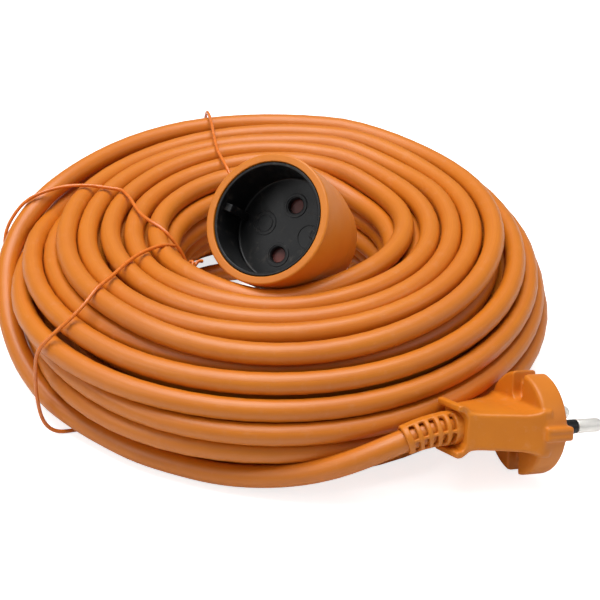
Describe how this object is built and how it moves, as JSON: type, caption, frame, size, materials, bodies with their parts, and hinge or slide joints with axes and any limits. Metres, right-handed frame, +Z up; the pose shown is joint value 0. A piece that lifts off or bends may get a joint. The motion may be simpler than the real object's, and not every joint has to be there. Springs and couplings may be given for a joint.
{
  "type": "extension cord",
  "caption": "Hank of round orange cable tied with string, with a flat-gripped two-pin contour plug on one end and a round shuttered two-pole socket on the other.",
  "frame": {"origin": "middle of the object's footprint, on the surface that the hank lies on", "axes": "+Z up; +X to the right of the hank, the way the plug's pins mostly point; +Y away, with the plug on the -Y side"},
  "size_m": [0.221, 0.2094, 0.0861],
  "materials": {
    "cable_sheath": "satin orange soft PVC sheath, smooth, with faint drawing lines",
    "moulding": "fine matt orange PVC moulding with a parting line",
    "black_plastic": "satin black thermoplastic",
    "nickel": "satin nickel plate on brass",
    "brown_insulation": "smooth brown PVC",
    "blue_insulation": "smooth blue PVC",
    "shutter_plastic": "red-brown nylon",
    "spring_steel": "bright spring wire",
    "holder_plastic": "ivory thermoplastic",
    "contact_brass": "bright pressed brass",
    "tie_string": "glossy orange plastic string"
  },
  "bodies": {
    "root": {"cable_coil": "cable_sheath", "cable_lead_plug": "cable_sheath", "cable_lead_socket": "cable_sheath", "plug_body": "moulding", "plug_strain_relief": "moulding", "socket_shell": "moulding", "socket_strain_relief": "moulding", "plug_pin_carrier": "black_plastic", "socket_insert": "black_plastic", "plug_pin_near": "nickel", "plug_pin_far": "nickel", "plug_core_brown": "brown_insulation", "socket_core_brown": "brown_insulation", "plug_core_blue": "blue_insulation", "socket_core_blue": "blue_insulation", "socket_shutter_spring": "spring_steel", "socket_contact_holder": "holder_plastic", "socket_contact_upper": "contact_brass", "socket_contact_lower": "contact_brass", "tie_back": "tie_string", "tie_left": "tie_string", "tie_front_left": "tie_string"},
    "shutter": {"socket_shutter": "shutter_plastic"}
  },
  "joints": [
    {"name": "shutter_slide", "type": "slide", "parent": "root", "child": "shutter", "axis": [-0.8425, 0.5388, 0], "range_m": [0, 0.0066], "stiffness_N_per_m": 120, "springref_m": -0.004, "deforming": ["socket_shutter_spring"]}
  ]
}
